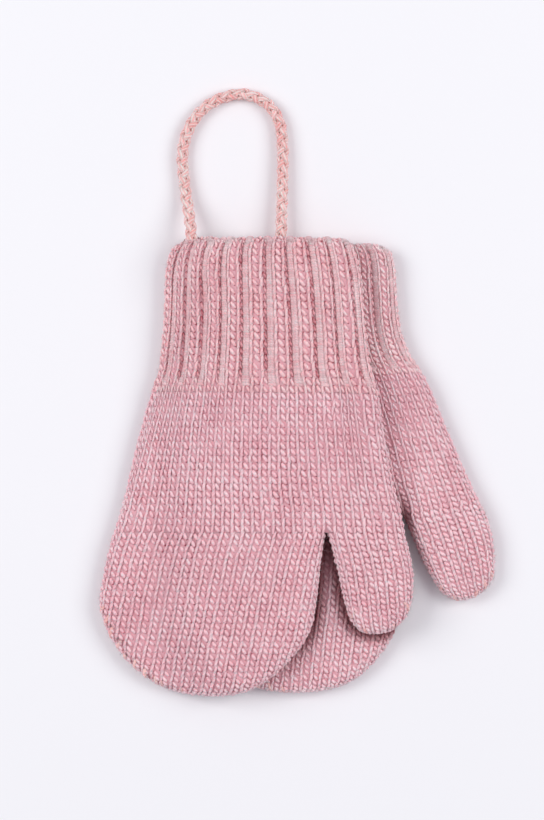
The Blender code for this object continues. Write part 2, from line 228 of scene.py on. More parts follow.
def yarn_material(name, shade, light, dark, painted_groove_colour, painted_shade_colour, ply_length, plies, ply_shade, relief):
    """Soft spun yarn: matt, with a nap that catches grazing light, and plies twisted round each other."""
    material = bpy.data.materials.new(name)
    material.use_nodes = True
    tree = material.node_tree
    shader = tree.nodes["Principled BSDF"]
    for setting, value in YARN_SURFACE.items():
        shader.inputs[setting].default_value = value
    shader.inputs["Sheen Tint"].default_value = linear(YARN_SHEEN)
    place = add_node(tree, "ShaderNodeTexCoord").outputs["Object"]
    tone = add_node(tree, "ShaderNodeAttribute", {"attribute_name": "tone"})
    cloud = add_node(tree, "ShaderNodeTexNoise", None, {"Vector": place, "Scale": CLOUD_SCALE, "Detail": 3.0})
    fibre = add_node(tree, "ShaderNodeTexNoise", None, {"Vector": place, "Scale": FIBRE_SCALE, "Detail": 2.0})
    shaded = calculate(tree, "MULTIPLY_ADD", cloud.outputs["Fac"], CLOUD_SHARE, tone.outputs["Fac"])
    mottled = calculate(tree, "MULTIPLY_ADD", fibre.outputs["Fac"], FIBRE_SHARE, shaded)
    uv = add_node(tree, "ShaderNodeUVMap", {"uv_map": "yarn"})
    parts = add_node(tree, "ShaderNodeSeparateXYZ", None, {"Vector": uv.outputs["UV"]})
    twist = calculate(tree, "DIVIDE", parts.outputs["Y"], ply_length)
    phase = calculate(tree, "ADD", parts.outputs["X"], twist)
    ply = calculate(tree, "SINE", calculate(tree, "MULTIPLY", phase, 2.0 * math.pi * plies))
    streaked = calculate(tree, "MULTIPLY_ADD", ply, ply_shade, mottled)
    ramp = add_node(tree, "ShaderNodeValToRGB", None, {"Fac": streaked})
    colours = ramp.color_ramp.elements
    colours[0].color = linear(painted_groove_colour)
    colours[1].position = LIGHT_PLACE
    colours[1].color = linear(light)
    for position, colour in ((DARK_PLACE, dark), (SHADE_PLACE, shade)):
        colours.new(position).color = linear(colour)
    # Painted shade: where the shade attribute is set, the base colour is mixed towards the deep colour
    painted_shade_mask = add_node(tree, "ShaderNodeAttribute", {"attribute_name": "shade"})
    mixed = add_node(tree, "ShaderNodeMix", {"data_type": "RGBA"},
                     {0: painted_shade_mask.outputs["Fac"], 6: ramp.outputs["Color"], 7: linear(painted_shade_colour)})
    tree.links.new(mixed.outputs[2], shader.inputs["Base Color"])
    height = calculate(tree, "MULTIPLY_ADD", fibre.outputs["Fac"], FIBRE_RELIEF, ply)
    bump = add_node(tree, "ShaderNodeBump", None, {"Height": height, "Strength": 1.0, "Distance": relief})
    tree.links.new(bump.outputs["Normal"], shader.inputs["Normal"])
    return material


cord_yarn = yarn_material("braided_cord_yarn", "ffcbc8", "ffe8e4", "f6aeaa", "e2928c", "a8625c",
                          ply_length=11.0, plies=4, ply_shade=0.2, relief=0.00012)
# The filler core is real; its darker colour is painted shade seen between the strands
cord_filler = yarn_material("cord_filler_yarn", "d48d86", "e2a59d", "b8716a", "a8625c", "a8625c",
                            ply_length=11.0, plies=4, ply_shade=0.1, relief=0.00009)
cord_line = smooth_curve(CORD_ROUTE, CORD_STEPS)
cord_length = length_along(cord_line)[-1]
cord_line = even_points(cord_line, int(cord_length / STRAND_STEP))
cord_reach = length_along(cord_line)
cord_along = unit(np.gradient(cord_line, axis=0))
cord_side = unit(np.cross(cord_along, [0.0, 0.0, 1.0]))
cord_up = np.cross(cord_side, cord_along)
draw = np.random.default_rng(7)
strand_lines = []
for way in (1, -1):
    for strand in range(STRANDS):
        angle = 2.0 * math.pi * (way * cord_reach / LAY_LENGTH + strand / STRANDS)
        crossings = 2.0 * STRANDS * cord_reach / LAY_LENGTH
        over = way * np.cos(math.pi * crossings)
        out = (STRAND_WINDING + STRAND_WAVE * over)[:, None]
        turned = cord_side * np.cos(angle)[:, None] + cord_up * np.sin(angle)[:, None]
        strand_lines.append(cord_line + turned * out)
strand_lines = np.array(strand_lines)
strand_ups = unit(strand_lines - cord_line)
strand_radii = np.full(strand_lines.shape[:2], STRAND_RADIUS)
strand_tones = STRAND_TONE * draw.random(2 * STRANDS)
cord_braid = yarn_mesh(
    "cord_braid", strand_lines, strand_ups, strand_radii, strand_tones, STRAND_SIDES, STRAND_WIDEN)
core_radii = np.full((1, len(cord_line)), CORE_RADIUS)
cord_core = yarn_mesh("cord_core", cord_line[None], cord_up[None], core_radii, np.zeros(1), CORE_SIDES)
for piece, material in ((cord_braid, cord_yarn), (cord_core, cord_filler)):
    piece.data.materials.append(material)
    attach(piece, "root")
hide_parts("cord")


# Each mitten is one tube of knitting, pressed flat: two layers with a rounded fold at each side. These rows
# are its outline at each ring, as it lies: the upper mitten on the lower one and down to the table beside it.
UPPER_ROWS = {
    "body": (
        # left x, left y, right x, right y
        (-38.4, 75.3, 17.0, 75.3),
        (-41.8, 71.2, 18.9, 71.6),
        (-43.6, 64.6, 20.8, 64.4),
        (-43.9, 58.4, 21.6, 58.4),
        (-44.4, 46.0, 22.7, 46.0),
        (-45.8, 33.5, 24.2, 33.2),
        (-48.2, 24.8, 26.8, 24.0),
        (-50.2, 18.0, 27.7, 17.6),
        (-52.2, 10.6, 28.8, 10.2),
        (-54.0, 3.0, 30.1, 2.6),
        (-56.2, -6.0, 31.9, -6.2),
        (-58.3, -14.0, 34.1, -14.2),
        (-60.6, -21.4, 35.4, -21.4),
    ),
    "fingers": (
        (-60.6, -21.4, 9.4, -21.4),
        (-62.6, -28.4, 8.2, -28.6),
        (-64.2, -36.5, 7.3, -36.6),
        (-65.2, -44.4, 6.4, -44.6),
        (-63.6, -51.6, 4.9, -52.0),
        (-60.6, -57.6, 1.9, -58.0),
        (-56.8, -63.0, -2.5, -63.4),
        (-51.6, -67.9, -7.5, -68.2),
        (-44.6, -72.2, -14.0, -72.4),
        (-37.4, -74.5, -20.8, -74.6),
    ),
    "thumb": (
        (9.7, -21.4, 35.4, -21.4),
        (11.0, -26.6, 36.4, -25.4),
        (12.7, -33.4, 37.8, -31.6),
        (14.5, -42.0, 38.2, -40.0),
        (16.7, -49.0, 36.9, -46.6),
        (19.2, -52.8, 34.4, -50.6),
        (22.4, -54.6, 31.2, -53.4),
    ),
    "fingers_tip": (-29.0, -75.5),
    "thumb_tip": (26.8, -55.0),
}
LOWER_ROWS = {
    "body": (
        (-23.6, 72.9, 28.4, 74.0),
        (-26.4, 69.6, 31.5, 70.2),
        (-27.2, 65.0, 32.6, 65.2),
        (-27.4, 59.5, 33.0, 59.8),
        (-27.8, 45.6, 34.2, 46.4),
        (-28.0, 34.0, 37.2, 37.6),
        (-28.8, 26.0, 41.2, 31.4),
        (-29.8, 19.0, 44.6, 24.4),
        (-30.4, 10.5, 48.0, 16.2),
        (-31.0, 2.0, 51.4, 8.2),
        (-31.6, -7.4, 55.2, -0.8),
        (-32.0, -16.6, 58.2, -7.2),
        (-32.4, -25.6, 60.4, -11.8),
    ),
    "fingers": (
        (-32.4, -25.6, 34.3, -15.6),
        (-32.8, -33.4, 34.9, -24.6),
        (-33.0, -41.0, 34.9, -34.0),
        (-32.8, -48.6, 34.4, -43.4),
        (-31.4, -55.6, 33.0, -51.6),
        (-28.4, -61.6, 30.4, -57.6),
        (-24.0, -66.8, 26.6, -62.8),
        (-17.6, -71.0, 21.6, -68.0),
        (-10.4, -73.4, 15.2, -71.8),
        (-4.0, -74.2, 9.6, -73.5),
    ),
    "thumb": (
        (34.6, -15.6, 60.4, -11.8),
        (36.8, -21.4, 62.6, -16.4),
        (40.2, -29.6, 64.4, -22.8),
        (43.6, -36.0, 65.2, -30.6),
        (46.4, -40.4, 64.6, -36.0),
        (49.4, -42.9, 62.0, -40.2),
        (52.2, -44.0, 58.6, -42.9),
    ),
    "fingers_tip": (2.8, -74.5),
    "thumb_tip": (55.2, -44.3),
}
CUFF_INTERVALS = 6       # of the body's rows; the rest are the palm
ROW_STEPS = 8            # points of the smooth outline for each interval
ABOVE_CROTCH = 4.0       # where the outlines of fingers and thumb part
EDGE_ROUND = 3.3         # how far in from a folded side the full thickness is reached
EDGE_HEIGHT = 3.6        # and how far up, from the fold's middle to the top
THICKNESS = ((-76.0, 6.4), (-40.0, 6.7), (20.0, 6.8), (30.0, 7.2), (76.0, 7.2))  # y, both layers
LAYER_GAP = 0.35
DRAPE_OUT = 17.0         # beside the lower mitten, where the upper one reaches the table
DRAPE_IN = 0.6           # inside its outline, from where the upper one lies level
CHANNEL_HALF_WIDTH = 5.6  # of the arch over the cord's end in each cuff
CHANNEL_START = 53.0     # y where it begins to rise
CHANNEL_FULL = 65.0
LOWER_CHANNEL = (-5.4, 1.6)  # x, rise
UPPER_CHANNEL = (-34.5, 2.4)
CREASE_DEPTH = 1.0       # a crease runs up the palm from each crotch
CREASE_LENGTH = 5.0
CREASE_WIDTH = 2.6
SLOPE_STEP = 0.25        # over which the cloth's slope is read
FIELD_STEP = 0.75        # of the grid on which distances to the outlines are worked out
FIELD_LOW = np.array([-78.0, -88.0])
FIELD_SIZE = (208, 236)
# Corners far out to each side, which close an outline that is only one side of a mitten
FAR_RIGHT = ((200.0, -80.0), (200.0, 76.0))
FAR_LEFT = ((-200.0, -80.0), (-200.0, 76.0))

# A folded side's mean radius, and its length round the fold beyond its width seen from above
edge_arc = (EDGE_ROUND + EDGE_HEIGHT) / 2
edge_extra = edge_arc * math.pi / 2 - EDGE_ROUND


def smooth_step(share):
    share = np.clip(share, 0.0, 1.0)
    return share * share * (3.0 - 2.0 * share)


def distance_field(path, outline):
    """Distance to a path on a grid, positive inside the closed outline, with its slope."""
    xs = FIELD_LOW[0] + FIELD_STEP * np.arange(FIELD_SIZE[0])
    ys = FIELD_LOW[1] + FIELD_STEP * np.arange(FIELD_SIZE[1])
    x, y = (axis.ravel() for axis in np.meshgrid(xs, ys, indexing="ij"))
    nearest = np.full(x.size, 1e9)
    for (ax, ay), (bx, by) in zip(path, path[1:]):
        dx, dy = bx - ax, by - ay
        share = np.clip(((x - ax) * dx + (y - ay) * dy) / (dx * dx + dy * dy + 1e-12), 0.0, 1.0)
        nearest = np.minimum(nearest, np.hypot(x - ax - share * dx, y - ay - share * dy))
    inside = np.zeros(x.size, bool)
    for (ax, ay), (bx, by) in zip(outline, np.roll(outline, -1, axis=0)):
        if ay != by:
            inside ^= ((ay > y) != (by > y)) & (x < ax + (y - ay) * (bx - ax) / (by - ay))
    signed = np.where(inside, nearest, -nearest).reshape(FIELD_SIZE)
    slope_x, slope_y = np.gradient(signed, FIELD_STEP)
    return np.stack([signed, slope_x, slope_y], axis=-1)


def read_field(field, places):
    """Distance and unit slope at places, read between the grid's points."""
    grid = (places - FIELD_LOW) / FIELD_STEP
    low = np.clip(np.floor(grid).astype(int), 0, np.array(FIELD_SIZE) - 2)
    share = grid - low
    i, j = low[:, 0], low[:, 1]
    u, v = share[:, :1], share[:, 1:]
    near = field[i, j] * (1 - u) + field[i + 1, j] * u
    far = field[i, j + 1] * (1 - u) + field[i + 1, j + 1] * u
    found = near * (1 - v) + far * v
    return found[:, 0], unit(found[:, 1:])


def lay_out(name, rows, channel):
    """A mitten's smooth outlines, its parts' side lines and the distance fields that shape its folds."""
    body, fingers, thumb = (np.array(rows[part]) for part in ("body", "fingers", "thumb"))
    crotch = (fingers[0, 2:] + thumb[0, :2]) / 2
    above = crotch + [0.0, ABOVE_CROTCH]
    path = np.vstack([body[:, :2], fingers[1:, :2], [rows["fingers_tip"]], fingers[::-1, 2:], [above]])
    finger_path = smooth_curve(path, ROW_STEPS)
    path = np.vstack([[above], thumb[:, :2], [rows["thumb_tip"]], thumb[:0:-1, 2:], body[::-1, 2:]])
    thumb_path = smooth_curve(path, ROW_STEPS)
    body_end = (len(body) - 1) * ROW_STEPS
    finger_end = (len(fingers) - 1) * ROW_STEPS
    thumb_end = (len(thumb) - 1) * ROW_STEPS
    finger_back, thumb_back = finger_path[::-1], thumb_path[::-1]
    sides = {
        "body": (finger_path[:body_end + 1], thumb_back[:body_end + 1]),
        "fingers": (finger_path[body_end:body_end + finger_end + 1],
                    finger_back[ROW_STEPS:ROW_STEPS + finger_end + 1]),
        "thumb": (thumb_path[ROW_STEPS:ROW_STEPS + thumb_end + 1],
                  thumb_back[body_end:body_end + thumb_end + 1]),
    }
    top_right, top_left = body[0, 2:], body[0, :2]
    left_side, right_side = finger_path[:body_end + finger_end + 1], thumb_back[:body_end + thumb_end + 1]
    from_left = distance_field(left_side, np.vstack([left_side, FAR_RIGHT]))
    from_right = distance_field(right_side, np.vstack([right_side, FAR_LEFT]))
    whole = np.vstack([finger_path[:-ROW_STEPS], thumb_path[ROW_STEPS:]])
    fields = {
        "body": np.where(np.abs(from_left[..., :1]) < np.abs(from_right[..., :1]), from_left, from_right),
        "fingers": distance_field(finger_path, np.vstack([finger_path, [body[-1, 2:], top_right]])),
        "thumb": distance_field(thumb_path, np.vstack([thumb_path, [top_left, body[-1, :2]]])),
        "whole": distance_field(np.vstack([whole, whole[:1]]), whole),
    }
    return {"name": name, "rows": rows, "channel": channel,
            "sides": sides, "fields": fields, "crotch": crotch}


def thickness_at(y):
    return np.interp(y, [row[0] for row in THICKNESS], [row[1] for row in THICKNESS])


def channel_rise(places, channel):
    """How far a cuff's top layer arches over the cord's end."""
    across = (places[:, 0] - channel[0]) / CHANNEL_HALF_WIDTH
    along = smooth_step((places[:, 1] - CHANNEL_START) / (CHANNEL_FULL - CHANNEL_START))
    return channel[1] * along * np.exp(-across * across)


lower = lay_out("lower", LOWER_ROWS, LOWER_CHANNEL)
upper = lay_out("upper", UPPER_ROWS, UPPER_CHANNEL)


def lift_at(mitten, places):
    """How high a mitten's underside lies.

    The upper one is level on the lower one, then comes down to the table beside it.
    """
    if mitten is lower:
        return np.zeros(len(places))
    inside, _ = read_field(lower["fields"]["whole"], places)
    share = smooth_step((inside + DRAPE_OUT) / (DRAPE_OUT + DRAPE_IN))
    return share * (thickness_at(places[:, 1]) + channel_rise(places, lower["channel"]) + LAYER_GAP)


# Soft hollows and swells pressed into the cloth: x, y, reach along x, reach along y, turn in degrees, height
SWELLS = {
    "upper": (
        (-38.0, 6.0, 9.0, 20.0, 20.0, -0.5),
        (-20.0, -12.0, 16.0, 9.0, -15.0, 0.35),
        (16.0, 2.0, 4.0, 16.0, 8.0, -0.45),
        (-4.0, -40.0, 7.0, 20.0, -8.0, 0.35),
        (-48.0, -36.0, 8.0, 12.0, 10.0, -0.35),
        (25.0, -36.0, 6.0, 12.0, 12.0, 0.25),
    ),
    "lower": (
        (47.0, -6.0, 5.0, 14.0, 22.0, -0.4),
        (40.0, 16.0, 6.0, 10.0, 15.0, 0.3),
        (10.0, -50.0, 12.0, 10.0, 0.0, 0.3),
        (0.0, 10.0, 16.0, 14.0, 0.0, -0.2),
    ),
}


def swell_at(mitten, places):
    total = np.zeros(len(places))
    for x, y, reach_x, reach_y, turn, height in SWELLS[mitten["name"]]:
        dx, dy = places[:, 0] - x, places[:, 1] - y
        cos, sin = math.cos(math.radians(turn)), math.sin(math.radians(turn))
        u, v = (dx * cos + dy * sin) / reach_x, (dy * cos - dx * sin) / reach_y
        total += height * np.exp(-u * u - v * v)
    return total


def cloth_surface(mitten, part, chart, face):
    """Points of the cloth's outer surface.

    A chart is the cloth rolled out flat, seen from above. Near a folded side it is wider than the mitten,
    and a place past the fold's middle is on the other face.
    """
    distance, slope = read_field(mitten["fields"][part], chart)
    reach = distance + edge_extra
    turn = np.clip(reach / edge_arc, -math.pi / 2, math.pi / 2)
    inset = EDGE_ROUND * (1.0 - np.cos(turn)) + np.maximum(reach - edge_arc * math.pi / 2, 0.0)
    plan = chart + (inset - distance)[:, None] * slope
    rise = np.sin(turn)
    offset = plan - mitten["crotch"]
    if part == "body":
        near = np.clip(np.hypot(offset[:, 0], offset[:, 1]) / EDGE_ROUND, 0.0, 1.0)
        rise = rise * np.sqrt(near * (2.0 - near))
    thick = thickness_at(plan[:, 1])
    top = (face > 0) * np.maximum(rise, 0.0)
    crease = CREASE_DEPTH * np.exp(-(offset[:, 0] / CREASE_WIDTH) ** 2 - (offset[:, 1] / CREASE_LENGTH) ** 2)
    z = thick / 2 + face * rise * thick / 2 + lift_at(mitten, plan)
    z += top * (channel_rise(plan, mitten["channel"]) - crease + swell_at(mitten, plan))
    return np.column_stack([plan, z])


def cloth_place(mitten, part, chart, face, height):
    """Points at a height above the cloth's outer surface, and the way that is out there."""
    here = cloth_surface(mitten, part, chart, face)
    over_x = cloth_surface(mitten, part, chart + [SLOPE_STEP, 0.0], face) - here
    over_y = cloth_surface(mitten, part, chart + [0.0, SLOPE_STEP], face) - here
    out = unit(np.cross(over_x, over_y)) * face[:, None]
    return here + out * height[:, None], out


# The cuffs are ribbed, two wales of knit and one of purl. The ribs stand up on a plain inside, lean a little,
# and end in a thick rounded rim, over which the knitting turns in.
WALES = 60               # round a cuff and a palm
HALF = WALES // 2        # across one face
CUFF_ROWS = 21
PALM_ROWS = 20
BODY_ROWS = CUFF_ROWS + PALM_ROWS
BODY_TURN = 0.8          # wales by which the tube is turned from the cuff to the crotch
RIM_RADIUS = 1.8
RIM_ROWS = 4             # turned in over the rim
RIM_RINGS = (-2.4, -1.6, -1.0, -0.5)  # rows of the cloth beneath them
RIB_WALES = 3
RIBS = WALES // RIB_WALES
# Within a rib: wales from its left side, its share of the rib's width there, and how far the cloth is sunk
RIB_SHAPE = (
    (0.0, -0.04, 0.35),
    (0.22, 0.01, 0.1),
    (0.68, 0.22, 0.0),
    (1.0, 0.36, 0.0),
    (1.22, 0.46, 0.1),
    (1.6, 0.56, 1.1),
    (2.0, 0.67, 1.55),
    (2.3, 0.76, 1.1),
    (2.7, 0.88, 0.7),
    (3.0, 0.96, 0.35),
)
RIB_BACK_DEPTH = 0.5     # the ribs are flatter where the mitten lies on them
RIB_MARK = 0.22          # share of a rib's width where its bright middle runs
# Where those middles run, in mm from the left outline of each cuff at mid-height, for every rib
RIB_PLACES = {
    "upper": (0.7, 4.6, 9.6, 16.2, 22.6, 30.1, 38.0, 45.8, 53.6, 58.9),
    "lower": (-0.4, 6.0, 12.4, 18.8, 25.2, 31.6, 38.0, 44.4, 50.8, 57.2),
}
RIB_REFERENCE = {"upper": 65.5, "lower": 62.0}  # a cuff's width at mid-height
RIB_END = 1.9            # the last rib of the face ends this far before the middle of the fold
RIB_FADE_ROWS = 3.0      # above the palm, where the ribs flatten out
RIM_RELIEF = 0.15        # share of the ribs' depth on the rim
RIM_RELIEF_ROWS = 2.2    # and the row from which it is full
# One knit stitch: two legs of yarn. Wales across, rows along, height above the cloth in mm
LEG_UPRIGHT = (
    (0.27, -0.26, -1.2),
    (0.24, 0.08, -0.66),
    (0.21, 0.48, -0.50),
    (0.19, 0.90, -0.66),
    (0.17, 1.24, -1.2),
)
LEG_SLANTED = (
    (0.40, -0.02, -1.2),
    (0.52, 0.18, -0.72),
    (0.67, 0.46, -0.52),
    (0.83, 0.76, -0.72),
    (0.95, 0.98, -1.2),
)
PURL_LOOP = (
    (-0.04, 0.32, -1.2),
    (0.24, 0.21, -0.86),
    (0.50, 0.18, -0.80),
    (0.76, 0.21, -0.86),
    (1.04, 0.32, -1.2),
)
# The yarn's radius at the same points: thinner where a leg dives between its neighbours, which leaves small
# dark holes
UPRIGHT_RADII = (0.38, 0.47, 0.50, 0.47, 0.38)
SLANTED_RADII = (0.38, 0.52, 0.58, 0.52, 0.38)
PURL_RADII = (0.66, 0.88, 0.94, 0.88, 0.66)
SLANTED_PAINTED_SHADE = (-0.85, -0.06, 0.12, -0.06, -0.85)  # painted shade along the slanted leg, darkest in those holes and a little lighter on its top
PURL_SHARES = (0.0, 1.0 / 3.0, 2.0 / 3.0)  # of a row, where its purl loops lie
PURL_CALM = 0.35         # they lie more evenly than knit stitches
# How much stitches differ from each other, each on its own and in slow waves over the knitting
LENGTH_SPREAD = 0.06     # share of a leg's length
ACROSS_SPREAD = 0.04     # share of a wale
ACROSS_WAVE = 0.10
ALONG_SPREAD = 0.05      # share of a row
HEIGHT_SPREAD = 0.09     # mm
RADIUS_SPREAD = 0.05     # share of the yarn's radius
RADIUS_WAVE = 0.10
LEG_SINK = 0.05          # all legs lie this much deeper than their table says
PLAIN_TONE = 0.25        # each leg gets its own tone up to this
GROOVE_PAINTED_SHADE = -0.38      # painted shade added to the knit legs where a rib falls away to the purl
PURL_TONE = -0.05
# Painted light: knitting made lighter, most on the lower mitten, which the upper one shades
CUFF_PAINTED_LIGHT = {"lower": 0.14, "upper": 0.02}
POUCH_PAINTED_LIGHT = {"lower": 0.06, "upper": 0.0}
OPEN_PITCH = 3.0         # mm from wale to wale where the yarn lies open; in tighter knitting it is thinner
YARN_SHARES = (0.62, 1.05)  # of its open radius, in the tightest and the loosest knitting
# Painted shade on the lower mitten's wool under and beside the upper one, and on the upper one's fingers at
# small holes in their linking
PAINTED_GAP_SHADE = 0.85         # share of the deep colour painted as shade under the upper mitten
GAP_REACH = 4.2          # how far out beside the upper mitten it goes
GAP_TOP = -4.0           # y where it begins, on the way from the cuff to the tip
GAP_FADE = 14.0          # over how many mm it comes to its full share
GAP_END = -73.0          # y where it has faded out
GAP_END_FADE = 22.0
PAINTED_HOLE_SHADE = 0.6         # the same painted shade in small holes
HOLE_RADIUS = 0.8
SHELL_DEPTH = 0.84       # from the yarn's tops to the cloth shell beneath
SHELL_WALL = 0.7


def row_lines(mitten, part, places):
    """Left and right ends of a part's rows, at places counted in intervals of its table."""
    left, right = mitten["sides"][part]
    count = np.arange(len(left)) / ROW_STEPS
    ends = []
    for side in (left, right):
        inside = np.stack([np.interp(places, count, side[:, axis]) for axis in (0, 1)], axis=-1)
        before = np.minimum(places, 0.0)[..., None] * (side[1] - side[0]) * ROW_STEPS
        after = np.maximum(places - count[-1], 0.0)[..., None] * (side[-1] - side[-2]) * ROW_STEPS
        ends.append(inside + before + after)
    return ends


def interval_of(mitten, part, first, last, share):
    """The table interval that lies a share of the way between two of them, measured along the part."""
    left, right = mitten["sides"][part]
    reach = length_along((left + right) / 2)
    count = np.arange(len(left)) / ROW_STEPS
    start, end = np.interp([first, last], count, reach)
    place = start + share * (end - start)
    beyond = (np.minimum(share, 0.0) + np.maximum(share - 1.0, 0.0)) * (last - first)
    return np.interp(np.clip(place, start, end), reach, count) + beyond


def body_interval(mitten, rows):
    """Table interval of a row of the cuff, counted from its rim, or of the palm that follows."""
    last = len(mitten["rows"]["body"]) - 1
    cuff = interval_of(mitten, "body", 0, CUFF_INTERVALS, np.minimum(rows / CUFF_ROWS, 1.0))
    palm = interval_of(mitten, "body", CUFF_INTERVALS, last, np.maximum(rows - CUFF_ROWS, 0.0) / PALM_ROWS)
    return np.where(rows < CUFF_ROWS, cuff, palm)


def rib_share(wales):
    """Which rib a wale is in, with its share of the rib's width, and how far the cloth is sunk there."""
    within = np.mod(wales, RIB_WALES)
    across, share, sunk = np.array(RIB_SHAPE).T
    return np.floor(wales / RIB_WALES) + np.interp(within, across, share), np.interp(within, across, sunk)


def body_arc(mitten, wales, rows):
    """How far round the tube a place is from its left fold, and the girth of one face there."""
    left, right = row_lines(mitten, "body", body_interval(mitten, rows))
    girth = np.linalg.norm(right - left, axis=-1) + 2.0 * edge_extra
    ribs, _ = rib_share(wales)
    plain = smooth_step((rows - CUFF_ROWS + RIB_FADE_ROWS) / RIB_FADE_ROWS)
    position = ribs * (1.0 - plain) + wales / RIB_WALES * plain
    reference = RIB_REFERENCE[mitten["name"]] + 2.0 * edge_extra
    places = np.array(RIB_PLACES[mitten["name"]]) + edge_extra
    front_end = reference - RIB_END
    knots = np.concatenate([[0.0], np.arange(len(places)) + RIB_MARK, [RIBS / 2, RIBS]])
    arcs = np.concatenate([[0.0], places, [front_end, 2.0 * reference]])
    turns = np.floor(position / RIBS)
    ribbed = (np.interp(position - turns * RIBS, knots, arcs) + turns * 2.0 * reference) / reference * girth
    mix = np.clip((rows - CUFF_ROWS) / PALM_ROWS, 0.0, 1.0)
    arc = ribbed * (1.0 - mix) + wales / HALF * girth * mix
    return arc - BODY_TURN * mix * girth / HALF, girth


def fold_in(arc, girth):
    """The same place, counted so that it is on this face or just round one of its folds."""
    return arc - 2.0 * girth * np.round((arc - girth / 2) / (2.0 * girth))


def over_rim(rows, heights, row_pitch):
    """Rows and heights of the cuff, turned in over its rounded rim."""
    reach = rows * row_pitch
    quarter = RIM_RADIUS * math.pi / 2
    turn = (quarter - reach) / RIM_RADIUS
    bend = np.clip(turn, 0.0, math.pi)
    cuff = CUFF_ROWS * row_pitch
    stretched = RIM_RADIUS + (reach - quarter) * (cuff - RIM_RADIUS) / (cuff - quarter)
    bend_radius = np.maximum(RIM_RADIUS + heights, 0.1)
    turned_in = RIM_RADIUS - bend_radius * np.sin(bend) + np.maximum(turn - math.pi, 0.0) * RIM_RADIUS
    below = np.where(turn > 0.0, turned_in, np.where(reach < cuff, stretched, reach))
    lifted = np.where(turn > 0.0, bend_radius * np.cos(bend) - RIM_RADIUS, heights)
    return below / row_pitch, lifted


def cuff_pitch(mitten):
    left, right = mitten["sides"]["body"]
    middle = (left + right) / 2
    return length_along(middle[:CUFF_INTERVALS * ROW_STEPS + 1])[-1] / CUFF_ROWS


def body_face(mitten, wales, rows):
    """The face that places of the cuff and palm are on: 1 on top and -1 below."""
    arc, girth = body_arc(mitten, wales, rows)
    return np.where(np.mod(arc, 2.0 * girth) < girth, 1.0, -1.0)


def body_points(mitten, wales, rows, heights, face):
    """Points of the cuff's and palm's yarns, and the way out from the cloth there."""
    shape = wales.shape
    wales, rows, heights, face = (np.broadcast_to(a, shape).ravel() for a in (wales, rows, heights, face))
    relief = 1.0 - smooth_step((rows - CUFF_ROWS + RIB_FADE_ROWS) / RIB_FADE_ROWS)
    relief *= RIM_RELIEF + (1.0 - RIM_RELIEF) * smooth_step(rows / RIM_RELIEF_ROWS)
    sunk = rib_share(wales)[1] * relief * np.where(face > 0, 1.0, RIB_BACK_DEPTH)
    turned_rows, turned_heights = over_rim(rows, heights - sunk, cuff_pitch(mitten))
    arc, girth = body_arc(mitten, wales, turned_rows)
    across = fold_in(np.where(face > 0, arc, 2.0 * girth - arc), girth)
    left, right = row_lines(mitten, "body", body_interval(mitten, turned_rows))
    chart = left + unit(right - left) * (across - edge_extra)[:, None]
    points, out = cloth_place(mitten, "body", chart, face, turned_heights)
    return points.reshape(shape + (3,)), out.reshape(shape + (3,))


def stitch_grid(first_row, end_row, wales_round):
    """Wale and row of each stitch, row after row."""
    row, wale = np.meshgrid(np.arange(first_row, end_row), np.arange(wales_round), indexing="ij")
    return wale.ravel().astype(float), row.ravel().astype(float)


def tension(wale, row, start):
    """A slow change over the knitting, from -1 where it is slack to 1 where it is tight."""
    waves = ((0.31, 0.11, 0.0), (0.13, -0.23, 1.7), (-0.07, 0.37, 3.1), (0.47, 0.29, 4.4))
    return sum(np.sin(a * wale + b * row + c + start) for a, b, c in waves) / 3.0


def stitch_legs(template, thickness, wale, row, pitch, draw, wild=1.0):
    """One leg for each stitch: wales, rows, heights and radii of its points, each stitch a little its own."""
    across, along, height = np.array(template).T
    count = len(wale)
    slack = tension(wale, row, 0.0)[:, None]
    loose = 1.0 + LENGTH_SPREAD * wild * draw.standard_normal((count, 1))
    wander = ACROSS_WAVE * tension(wale, row, 2.0)[:, None]
    wander = wander + ACROSS_SPREAD * wild * draw.standard_normal((count, 1))
    wales = wale[:, None] + across + wander
    rows = row[:, None] + 0.5 + (along - 0.5) * loose + ALONG_SPREAD * wild * draw.standard_normal((count, 1))
    heights = height + HEIGHT_SPREAD * wild * draw.standard_normal((count, 1)) - LEG_SINK
    tight = np.clip(pitch / OPEN_PITCH, *YARN_SHARES)[:, None]
    swollen = 1.0 + RADIUS_SPREAD * draw.standard_normal((count, 1)) + RADIUS_WAVE * slack
    return wales, rows, heights, np.array(thickness) * tight * swollen


def knit_stitches(place_points, wale, row, face, draw):
    """Lines, ways out and radii of both legs of knit stitches."""
    lines, ups, radii = [], [], []
    ends = [place_points(wale + share, row + 0.5, np.full(len(wale), -0.5), face)[0] for share in (0.1, 0.9)]
    pitch = np.linalg.norm(ends[1] - ends[0], axis=-1) / 0.8
    for template, thickness in ((LEG_UPRIGHT, UPRIGHT_RADII), (LEG_SLANTED, SLANTED_RADII)):
        wales, rows, heights, leg_radii = stitch_legs(template, thickness, wale, row, pitch, draw)
        points, out = place_points(wales, rows, heights, face[:, None])
        lines.append(points)
        ups.append(out)
        radii.append(leg_radii)
    return np.concatenate(lines), np.concatenate(ups), np.concatenate(radii)


def leg_tones(tones, stitches):
    """Tones along each length of yarn, with painted shade along the slanted legs. The slanted legs follow as
    many upright ones.
    """
    tones = np.repeat(tones[:, None], len(SLANTED_PAINTED_SHADE), axis=1)
    tones[stitches:2 * stitches] += SLANTED_PAINTED_SHADE
    return tones


